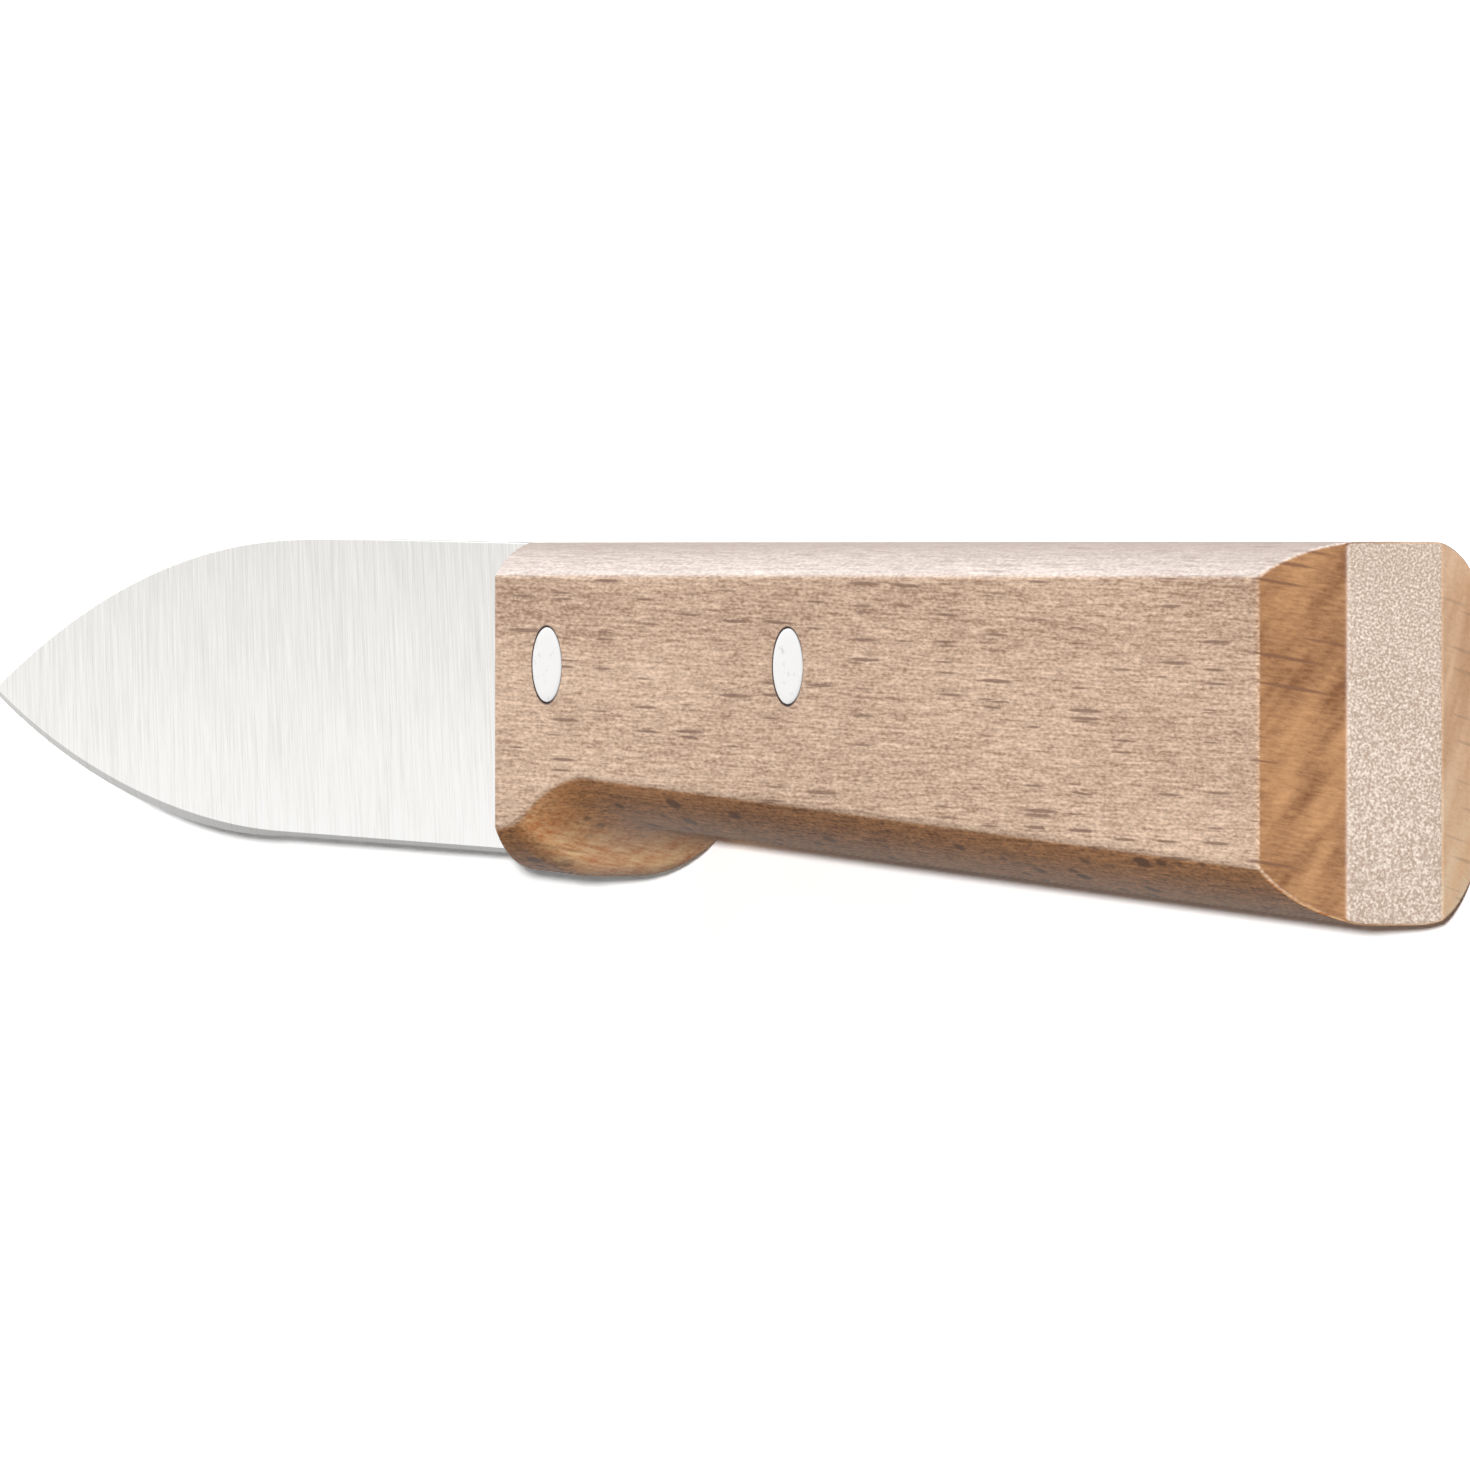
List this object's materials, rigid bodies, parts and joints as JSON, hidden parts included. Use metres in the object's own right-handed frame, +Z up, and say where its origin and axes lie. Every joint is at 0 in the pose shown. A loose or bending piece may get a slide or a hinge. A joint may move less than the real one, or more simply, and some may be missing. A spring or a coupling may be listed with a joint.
{
  "type": "paring knife",
  "caption": "Paring knife with a short leaf-shaped steel blade let into a one-piece beech handle with a finger guard, rounded long edges, chamfered ends and flush rivets.",
  "frame": {"origin": "middle of the flat side of the handle that lies on the table", "axes": "+X along the knife from the tip towards the butt, +Y from the cutting edge towards the spine, +Z up from the table through the blade's flat"},
  "size_m": [0.1822, 0.0186, 0.0116],
  "materials": {
    "handle": "beech, sanded and lightly varnished",
    "blade": "stainless steel, fine satin across the blade, narrow ground edge",
    "rivet": "bright, ground flush with the wood"
  },
  "bodies": {
    "root": {"handle": "handle", "blade": "blade", "rivet_front": "rivet", "rivet_rear": "rivet"}
  },
  "joints": []
}
